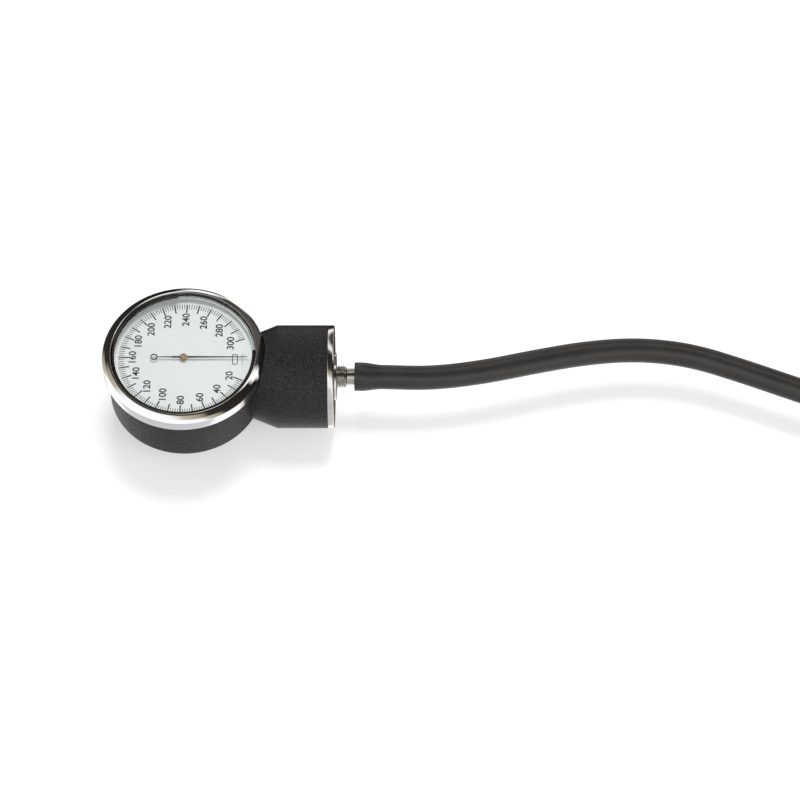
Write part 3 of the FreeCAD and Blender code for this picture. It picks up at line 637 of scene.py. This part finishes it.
def make_clasp(tie, centre_z):
    """The tie's clasp, a small block on the strap's outer side that narrows at both ends."""
    lowest, highest = low("hose_tie"), high("hose_tie")
    centre_x = (lowest.x + highest.x) / 2
    reach = (highest.x - lowest.x) / 2 - 0.5
    depth, height, sunk = 2.2, 4.4, 0.2
    corners = [(depth, height), (-sunk, height), (-sunk, 0), (depth, 0)]
    outline = rounded([(x, y, 0.5) for x, y in corners], steps=4)
    middle = Vector((1.0, height / 2))
    rows = []
    for share, size in ((-1.0, 0.825), (-0.93, 0.95), (-0.8, 1.0), (0.8, 1.0), (0.93, 0.95), (1.0, 0.825)):
        spots = [middle + (point - middle) * size for point in outline]
        rows.append([Vector((centre_x + reach * share, lowest.y + depth - spot.x,
                             centre_z - height / 2 + spot.y)) for spot in spots])
    clasp = add_object("tie_clasp", grid_mesh("tie_clasp", rows, closed=False))
    stand_for(clasp, "tie_plastic", MATERIALS["tie_plastic"])
    clasp.parent = tie
    clasp.matrix_parent_inverse = Matrix.Identity(4)


# ---------------------------------------------------------------- case, window and pointer hub

def make_case():
    """The painted shell: a drum with a drawn-in back, and the neck that holds the capsule."""
    radius = -low("case_body").x
    rim = low("crystal_gasket").z
    seat = low("bezel").z
    neck_end = high("case_body").x
    neck_radius = high("end_cap").z - NECK_HEIGHT
    room = high("bezel").x + BEZEL_GAP
    over_all = high("bezel").z + 4 * OVERCUT
    shell = turned("gauge_case", [
        (AXIS, 0, 0), (BACK_RADIUS, 0, 0.8), (radius, SHOULDER_TOP, 2.5), (radius, seat, 0.25),
        (RIM_RADIUS, seat, 0), (RIM_RADIUS, rim, 0.15), (AXIS, rim, 0)])
    neck = turned("neck", [
        (AXIS, 18.0, 0), (11.8, 18.0, 0), (neck_radius, 28.6, 1.2), (neck_radius, neck_end, 0.3),
        (AXIS, neck_end, 0)], along_x=True)
    combine(shell, neck, "UNION")
    bezel_room = turned("bezel_room", [
        (RIM_RADIUS, seat, 0), (room, seat, 0), (room, over_all, 0), (AXIS, over_all, 0), (AXIS, rim, 0),
        (RIM_RADIUS, rim, 0)])
    combine(shell, bezel_room, "DIFFERENCE")
    cavity = turned("cavity", [
        (AXIS, 1.8, 0), (15.6, 1.8, 0), (21.9, 9.3, 0), (21.9, 25.9, 0), (22.4, 25.9, 0),
        (22.4, rim + OVERCUT, 0), (AXIS, rim + OVERCUT, 0)])
    combine(shell, cavity, "DIFFERENCE")
    chamber = turned("chamber", [
        (AXIS, 29.3, 0), (14.2, 29.3, 0), (14.2, 43.4, 0), (15.2, 43.4, 0),
        (15.2, neck_end + OVERCUT, 0), (AXIS, neck_end + OVERCUT, 0)], along_x=True)
    combine(shell, chamber, "DIFFERENCE")
    stand_for(shell, "case_paint", MATERIALS["case_paint"], "case_body")
    smooth(shell.data, 30)


def make_bezel():
    """The screwed chrome ring: a straight side, a domed shoulder and a thin lip over the window."""
    radius, seat, top = high("bezel").x, low("bezel").z, high("bezel").z
    inside = low("crystal_gasket").z
    bezel = turned("chrome_bezel", [
        (RIM_RADIUS, seat, 0.1), (radius, seat, 0.25), (radius, top - 1.6, 0.3),
        (radius - 0.95, top - 0.85, 1.5), (22.9, top - 0.12, 1.0), (22.5, top, 0.15),
        (22.35, top - 0.05, 0.08), (21.95, high("crystal").z, 0), (21.95, inside, 0),
        (RIM_RADIUS, inside, 0)], steps=256)
    stand_for(bezel, "bezel_chrome", MATERIALS["bezel_chrome"], "bezel")


def make_snap_ring():
    """The split wire ring that lies on the window, inside the bezel."""
    height = high("crystal").z + WIRE_RADIUS
    first, last = math.radians(WIRE_START), math.radians(WIRE_END)
    steps, wire_steps = 180, 16
    rows = []
    for step in range(steps + 1):
        turn = first + (last - first) * step / steps
        outwards = Vector((math.cos(turn), math.sin(turn), 0))
        row = []
        for side in range(wire_steps):
            angle = 2 * math.pi * side / wire_steps
            row.append(outwards * (WIRE_CIRCLE + WIRE_RADIUS * math.cos(angle))
                       + Vector((0, 0, height + WIRE_RADIUS * math.sin(angle))))
        rows.append(row)
    ring = add_object("window_snap_ring", grid_mesh("window_snap_ring", rows, closed=False))
    stand_for(ring, "ring_steel", MATERIALS["ring_steel"], "crystal_snap_ring")


def make_window():
    """The flat window, with its edge just broken."""
    radius, under, top = high("crystal").x, low("crystal").z, high("crystal").z
    window = turned("window_pane", [
        (AXIS, under, 0), (radius, under, 0.12), (radius, top, 0.12), (AXIS, top, 0)])
    stand_for(window, "window_glass", MATERIALS["window_glass"], "crystal")


def make_hub():
    """The brass collet that grips the pointer on its arbor, with a dished top."""
    radius, under, top = high("pointer_hub").x, low("pointer_hub").z, high("pointer_hub").z
    blade_under, blade_top = low("pointer").z, high("pointer").z
    bore, waist, dish = 0.4, 0.75, top - 0.16
    hub = turned("pointer_collet", [
        (bore, under, 0.03), (radius, under, 0.1), (radius, blade_under, 0.03), (waist, blade_under, 0),
        (waist, blade_top, 0), (radius, blade_top, 0.03), (radius, top - 0.02, 0.16), (0.72, top, 0.08),
        (0.62, dish, 0.05), (bore, dish, 0)], steps=96, body="pointer_train")
    stand_for(hub, "movement_brass", MATERIALS["movement_brass"], "pointer_hub")


# ---------------------------------------------------------------- neck end and nipple

def make_end_cap():
    """The chrome cap that closes the neck, with a low boss round the nipple."""
    boss, neck_end = high("end_cap").x, high("case_body").x
    face = boss - 0.6
    radius = high("end_cap").z - NECK_HEIGHT
    bore, spigot, spigot_start = THREAD_CREST, 14.15, 43.2
    cap = turned("neck_cap", [
        (bore, spigot_start, 0), (spigot, spigot_start, 0.2), (spigot, neck_end, 0),
        (radius, neck_end, 0.15), (radius, face, 0.45), (7.4, face, 0.1), (7.25, boss, 0.25),
        (bore, boss, 0.15)], along_x=True, steps=256)
    stand_for(cap, "cap_chrome", MATERIALS["cap_chrome"], "end_cap")


def nipple_radius(along, turn):
    """The nipple's surface: a screw thread, a plain stem and two barbs inside the hose."""
    first_barb = low("hose").x + FIRST_BARB
    if along < THREAD_END:
        phase = ((along - THREAD_START) / THREAD_PITCH - turn / (2 * math.pi)) % 1.0
        depth = min(abs(phase - 0.5) * 3.2 - 0.3, 1.0)
        thread = THREAD_CREST + (THREAD_ROOT - THREAD_CREST) * max(depth, 0.0)
        undercut = THREAD_ROOT - 0.1
        fade = min((THREAD_END - along) / THREAD_FADE, 1.0)
        return undercut + (thread - undercut) * fade
    if along < first_barb:
        return STEM_RADIUS + STEM_FILLET * max(0.0, 1 - (along - THREAD_END) / STEM_FILLET)
    for barb_start in (first_barb, first_barb + BARB_LENGTH):
        if barb_start <= along < barb_start + BARB_LENGTH:
            return BARB_RADIUS + (STEM_RADIUS - BARB_RADIUS) * (along - barb_start) / BARB_LENGTH
    return STEM_RADIUS - 0.2


def neck_ring(along, radius_at, steps=96):
    """A ring of points round the neck's axis, with the radius that each turn has."""
    ring = []
    for step in range(steps):
        turn = 2 * math.pi * step / steps
        radius = radius_at(turn)
        ring.append((along, radius * math.cos(turn), NECK_HEIGHT + radius * math.sin(turn)))
    return ring


def make_nipple():
    """The threaded nipple, drilled through."""
    start, end = low("hose_nipple").x, high("hose_nipple").x
    stations = 340
    rows = []
    for index in range(stations + 1):
        along = start + (end - start) * index / stations
        rows.append(neck_ring(along, functools.partial(nipple_radius, along)))
    for along in (end, start):
        rows.append(neck_ring(along, lambda turn: NIPPLE_BORE))
    nipple = add_object("threaded_nipple", grid_mesh("threaded_nipple", rows))
    smooth(nipple.data, 50)
    stand_for(nipple, "nipple_nickel", MATERIALS["nipple_nickel"], "hose_nipple")


# ---------------------------------------------------------------- dial print

def on_dial(radius, degrees):
    """A point on the dial, from its centre distance and its clockwise turn from +X."""
    angle = -math.radians(degrees) + math.radians(PRINT_TURN)
    return Vector((radius * math.cos(angle), radius * math.sin(angle), PRINT_HEIGHT))


def bar_corners(inner, outer, degrees, breadth):
    """A straight printed tick along a radius."""
    start, end = on_dial(inner, degrees), on_dial(outer, degrees)
    sideways = (end - start).normalized().cross(Vector((0, 0, 1))) * breadth / 2
    return [start - sideways, start + sideways, end + sideways, end - sideways]


def make_ticks():
    """A tick every 2 units, with a long heavy one every 10."""
    points, faces = [], []
    for value in range(SCALE_FIRST, SCALE_LAST + 1, 2):
        heavy = value % 10 == 0
        inner = LONG_TICK if heavy else SHORT_TICK
        breadth = HEAVY_TICK_WIDTH if heavy else LIGHT_TICK_WIDTH
        faces.append(tuple(range(len(points), len(points) + 4)))
        corners = bar_corners(inner, TICK_OUTER, value * DEGREES_PER_UNIT, breadth)
        points += [corner * MM for corner in corners]
    mesh = bpy.data.meshes.new("scale_ticks")
    mesh.from_pydata(points, [], faces)
    stand_for(add_object("scale_ticks", mesh), "dial_enamel", INK)


def printed_text(name, text, height, spot, weight, widening, ink):
    """Upright lettering whose top points along -X, as a flat mesh centred on a spot."""
    font = bpy.data.curves.new(name, "FONT")
    font.body = text
    font.align_x = "CENTER"
    font.align_y = "CENTER"
    font.size = height / FONT_SHARE
    font.offset = weight
    holder = bpy.data.objects.new(name, font)
    bpy.context.scene.collection.objects.link(holder)
    bpy.context.view_layer.update()
    mesh = bpy.data.meshes.new_from_object(holder)
    bpy.data.objects.remove(holder)
    quarter = Matrix.Rotation(math.pi / 2, 4, "Z")
    mesh.transform(Matrix.Translation(spot * MM) @ Matrix.Scale(MM, 4) @ quarter
                   @ Matrix.Diagonal((widening, 1, 1, 1)))
    stand_for(add_object(name, mesh), "dial_enamel", ink)


def make_figures():
    """The figures 20 to 300, just inside the ticks."""
    for value in range(SCALE_FIRST, SCALE_LAST + 1, 20):
        degrees = value * DEGREES_PER_UNIT
        breadth = FIGURE_HEIGHT * FIGURE_STEP * len(str(value))
        reach = math.hypot(math.cos(math.radians(degrees)) * FIGURE_HEIGHT / 2,
                           math.sin(math.radians(degrees)) * breadth / 2)
        printed_text("figure_%d" % value, str(value), FIGURE_HEIGHT,
                     on_dial(FIGURE_OUTER - reach, degrees), FIGURE_WEIGHT, FIGURE_WIDENING, INK)


def make_zero_box():
    """The rounded frame that the pointer's tip rests in at zero."""
    centre = on_dial(ZERO_BOX_CIRCLE, 0)
    half_width, half_height = 0.85, 1.9
    corners = [(half_width, half_height), (-half_width, half_height),
               (-half_width, -half_height), (half_width, -half_height)]
    outline = rounded([(x, y, 0.45) for x, y in corners], steps=6)
    points = []
    for share_x, share_y in ((1.0, 1.0), (0.72, 0.87)):
        points += [(centre + Vector((point.x * share_x, point.y * share_y, 0))) * MM for point in outline]
    count = len(outline)
    faces = [(i, (i + 1) % count, count + (i + 1) % count, count + i) for i in range(count)]
    mesh = bpy.data.meshes.new("zero_box")
    mesh.from_pydata(points, [], faces)
    stand_for(add_object("zero_box", mesh), "dial_enamel", INK)


def make_dial_print():
    """Everything printed on the dial, with its unit beside the zero box."""
    make_ticks()
    make_figures()
    make_zero_box()
    printed_text("unit_name", "mmHg", 0.95, on_dial(UNIT_CIRCLE, 0), 0.0, 1.1, GREY_INK)


# ---------------------------------------------------------------- studio

def make_floor():
    """A pale floor that stays white between the shadows and isn't mirrored in the chrome."""
    mesh = bpy.data.meshes.new("studio_floor")
    half = FLOOR_HALF
    mesh.from_pydata([(-half, -half, 0), (half, -half, 0), (half, half, 0), (-half, half, 0)], [],
                     [(0, 1, 2, 3)])
    floor = bpy.data.objects.new("studio_floor", mesh)
    bpy.context.scene.collection.objects.link(floor)
    paper = Shader("studio_paper", (0.52, 0.52, 0.52), 0.9, Specular_IOR_Level=0.0)
    paper.colour(paper.noise(900.0), (0.3, (0.51, 0.51, 0.51)), (0.7, (0.53, 0.53, 0.53)))
    paper.surface.inputs["Emission Color"].default_value = (1, 1, 1, 1)
    paper.surface.inputs["Emission Strength"].default_value = 0.5
    mesh.materials.append(paper.material)
    floor.visible_glossy = False


def add_light(name, place, aim, width, depth, power):
    """A soft rectangular light that the chrome doesn't mirror."""
    light = bpy.data.lights.new(name, "AREA")
    light.shape = "RECTANGLE"
    light.size = width
    light.size_y = depth
    light.energy = power
    holder = bpy.data.objects.new(name, light)
    holder.location = place
    holder.rotation_euler = (Vector(aim) - Vector(place)).to_track_quat("-Z", "Y").to_euler()
    holder.visible_glossy = False
    bpy.context.scene.collection.objects.link(holder)


def make_world():
    """An even grey room, whose gloss is white at the front left and dark at the back right."""
    world = bpy.data.worlds.new("studio")
    world.use_nodes = True
    bpy.context.scene.world = world
    tree = world.node_tree
    coordinates = tree.nodes.new("ShaderNodeTexCoord")
    along = tree.nodes.new("ShaderNodeVectorMath")
    along.operation = "DOT_PRODUCT"
    along.inputs[1].default_value = Vector(DARK_SIDE).normalized()
    share = tree.nodes.new("ShaderNodeMath")
    share.operation = "MULTIPLY_ADD"
    share.inputs[1].default_value = 0.5
    share.inputs[2].default_value = 0.5
    ramp = tree.nodes.new("ShaderNodeValToRGB")
    set_stops(ramp, GLOSS_STOPS)
    path = tree.nodes.new("ShaderNodeLightPath")
    mix = tree.nodes.new("ShaderNodeMix")
    mix.data_type = "RGBA"
    even, gloss, result = mix.inputs[6], mix.inputs[7], mix.outputs[2]    # its colour sockets
    even.default_value = (0.55, 0.55, 0.55, 1)
    tree.links.new(coordinates.outputs["Generated"], along.inputs[0])
    tree.links.new(along.outputs["Value"], share.inputs[0])
    tree.links.new(share.outputs["Value"], ramp.inputs["Fac"])
    tree.links.new(path.outputs["Is Glossy Ray"], mix.inputs["Factor"])
    tree.links.new(ramp.outputs["Color"], gloss)
    tree.links.new(result, tree.nodes["Background"].inputs["Color"])


def make_lights():
    """A main light above and behind the object, and a weaker one at the front right."""
    add_light("overhead", (0.12, 0.62, 1.4), OBJECT_MIDDLE, 0.6, 0.5, 18)
    add_light("right_fill", (0.8, -0.5, 0.55), (0.06, 0.0, 0.02), 0.6, 0.6, 5)
    make_world()


def make_camera():
    """The camera at the viewing angle of the product view."""
    camera = bpy.data.cameras.new("camera")
    camera.lens = CAMERA_LENS
    camera.sensor_width = 36
    holder = bpy.data.objects.new("camera", camera)
    holder.location = CAMERA_PLACE
    holder.rotation_euler = (math.radians(CAMERA_TILT), 0, 0)
    bpy.context.scene.collection.objects.link(holder)
    bpy.context.scene.camera = holder
    bpy.context.scene.view_settings.view_transform = "Standard"


make_camera()
make_floor()
make_lights()
finish_nodes()
make_connector()
make_tie()
make_hose()
make_case()
make_bezel()
make_snap_ring()
make_window()
make_hub()
make_end_cap()
make_nipple()
make_dial_print()
